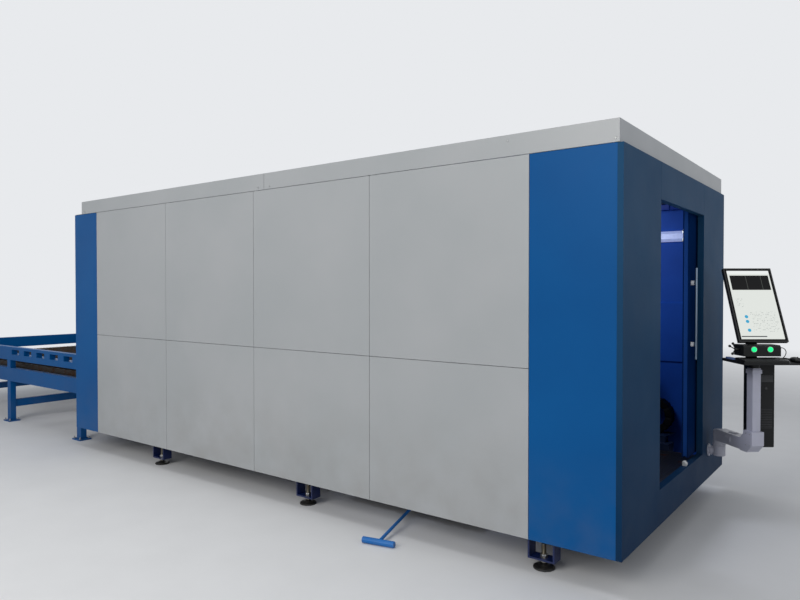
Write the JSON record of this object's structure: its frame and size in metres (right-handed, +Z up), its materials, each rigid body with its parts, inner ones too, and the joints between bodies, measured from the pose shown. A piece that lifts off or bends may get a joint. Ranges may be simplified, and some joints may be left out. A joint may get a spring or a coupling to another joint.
{
  "type": "fiber laser cutting machine",
  "caption": "Enclosed sheet laser cutter with panelled cabin, sliding operator doors, gantry and cutting head, exchange pallets, scrap trolley and swivel console.",
  "frame": {"origin": "centre of the sole of the front levelling foot nearest the operator end, on the floor", "axes": "+X along the machine towards the operator end, +Y from the long front face into the machine, +Z up"},
  "size_m": [9.4862, 2.4766, 2.328],
  "materials": {
    "enclosure_white": "fine-textured light grey-white powder coat",
    "enclosure_blue": "satin blue powder coat",
    "frame_blue": "blue machine enamel",
    "liner_blue": "royal blue satin paint",
    "track_steel": "galvanised folded steel",
    "handle_steel": "brushed stainless steel",
    "guide_white": "white nylon",
    "lamp_white": "opal lamp cover",
    "foot_steel": "zinc-plated steel",
    "gantry_white": "painted cast aluminium",
    "carriage_grey": "dark anodised aluminium",
    "head_metal": "machined aluminium with a copper nozzle",
    "chain_black": "black nylon links",
    "pallet_steel": "scaled mild steel",
    "wheel_steel": "turned steel",
    "drawbar_blue": "blue paint, worn at the grip",
    "arm_white": "satin white powder coat",
    "console_black": "black fine-textured powder coat",
    "housing_black": "black moulded plastic",
    "screen_glass": "lit display panel",
    "button_green": "lit translucent green cap"
  },
  "bodies": {
    "machine": {"front_panel_lower_1": "enclosure_white", "front_panel_lower_2": "enclosure_white", "front_panel_lower_3": "enclosure_white", "front_panel_lower_4": "enclosure_white", "front_panel_upper_1": "enclosure_white", "front_panel_upper_2": "enclosure_white", "front_panel_upper_3": "enclosure_white", "front_panel_upper_4": "enclosure_white", "back_panel_1": "enclosure_white", "back_panel_2": "enclosure_white", "roof_cover_right": "enclosure_white", "roof_cover_left": "enclosure_white", "front_column_right": "enclosure_blue", "front_column_left": "enclosure_blue", "back_column_right": "enclosure_blue", "back_column_left": "enclosure_blue", "end_surround": "enclosure_blue", "header_panel": "enclosure_blue", "left_end_panel": "enclosure_blue", "front_frame": "frame_blue", "rear_frame": "frame_blue", "door_track": "track_steel", "sill_guide": "guide_white", "front_liner": "liner_blue", "rear_liner": "liner_blue", "interior_lamp": "lamp_white", "bed_frame": "frame_blue", "front_foot_1": "foot_steel", "front_foot_2": "foot_steel", "front_foot_3": "foot_steel", "rear_foot_1": "foot_steel", "rear_foot_2": "foot_steel", "rear_foot_3": "foot_steel", "drag_chain": "chain_black", "exchange_frame": "enclosure_blue", "console_bracket": "arm_white"},
    "right_door": {"door_leaf_right": "enclosure_blue", "door_handle_right": "handle_steel"},
    "left_door": {"door_leaf_left": "enclosure_blue", "door_handle_left": "handle_steel"},
    "gantry": {"gantry_beam": "gantry_white"},
    "carriage": {"y_carriage": "carriage_grey"},
    "head": {"cutting_head": "head_metal"},
    "upper_pallet": {"pallet_upper": "pallet_steel"},
    "lower_pallet": {"pallet_lower": "pallet_steel"},
    "scrap_trolley": {"scrap_tray": "frame_blue"},
    "front_wheelset": {"tray_wheels_front": "wheel_steel"},
    "rear_wheelset": {"tray_wheels_rear": "wheel_steel"},
    "yoke": {"drawbar_yoke": "drawbar_blue"},
    "pull_bar": {"drawbar": "drawbar_blue"},
    "swing_arm": {"console_arm": "arm_white"},
    "console": {"console_tray": "console_black", "control_box": "console_black", "keyboard": "housing_black", "mouse": "housing_black", "computer_case": "console_black"},
    "monitor": {"monitor_housing": "housing_black", "screen": "screen_glass"},
    "left_button": {"button_left": "button_green"},
    "right_button": {"button_right": "button_green"}
  },
  "joints": [
    {"name": "gantry_travel", "type": "slide", "parent": "machine", "child": "gantry", "axis": [-1, 0, 0], "range_m": [0, 3.25]},
    {"name": "carriage_travel", "type": "slide", "parent": "gantry", "child": "carriage", "axis": [0, 1, 0], "range_m": [-0.68, 0.81]},
    {"name": "head_height", "type": "slide", "parent": "carriage", "child": "head", "axis": [0, 0, 1], "range_m": [-0.075, 0.045]},
    {"name": "upper_pallet_travel", "type": "slide", "parent": "machine", "child": "upper_pallet", "axis": [-1, 0, 0], "range_m": [0, 4.32]},
    {"name": "lower_pallet_travel", "type": "slide", "parent": "machine", "child": "lower_pallet", "axis": [1, 0, 0], "range_m": [0, 4.32]},
    {"name": "right_door_slide", "type": "slide", "parent": "machine", "child": "right_door", "axis": [0, -1, 0], "range_m": [-0.1, 0.323]},
    {"name": "left_door_slide", "type": "slide", "parent": "machine", "child": "left_door", "axis": [0, 1, 0], "range_m": [0, 0.4255]},
    {"name": "trolley_travel", "type": "slide", "parent": "machine", "child": "scrap_trolley", "axis": [0, -1, 0], "range_m": [0, 1.9]},
    {"name": "front_wheels_roll", "type": "hinge", "parent": "scrap_trolley", "child": "front_wheelset", "pos_m": [-1.033, 0.445, 0.04], "axis": [1, 0, 0], "continuous": true},
    {"name": "rear_wheels_roll", "type": "hinge", "parent": "scrap_trolley", "child": "rear_wheelset", "pos_m": [-1.033, 1.625, 0.04], "axis": [1, 0, 0], "continuous": true},
    {"name": "drawbar_swivel", "type": "hinge", "parent": "scrap_trolley", "child": "yoke", "pos_m": [-1.033, 0.263, 0.079], "axis": [0, 0, 1], "range_deg": [-37, 12]},
    {"name": "drawbar_lift", "type": "hinge", "parent": "yoke", "child": "pull_bar", "pos_m": [-1.02088, 0.20833, 0.079], "axis": [-0.9763, -0.2164, 0], "range_deg": [0, 19]},
    {"name": "arm_swivel", "type": "hinge", "parent": "machine", "child": "swing_arm", "pos_m": [0.527, 1.685, 0.424], "axis": [0, 0, 1], "range_deg": [-5, 55]},
    {"name": "console_swivel", "type": "hinge", "parent": "swing_arm", "child": "console", "pos_m": [0.77703, 1.43497, 1], "axis": [0, 0, 1], "range_deg": [-35, 10]},
    {"name": "monitor_tilt", "type": "hinge", "parent": "console", "child": "monitor", "pos_m": [0.75592, 1.46288, 1.248], "axis": [-0.7976, -0.6032, 0], "range_deg": [-5, 15]},
    {"name": "left_button_press", "type": "slide", "parent": "console", "child": "left_button", "axis": [-0.6032, 0.7976, 0], "range_m": [0, 0.005], "stiffness_N_per_m": 400},
    {"name": "right_button_press", "type": "slide", "parent": "console", "child": "right_button", "axis": [-0.6032, 0.7976, 0], "range_m": [0, 0.005], "stiffness_N_per_m": 400}
  ]
}
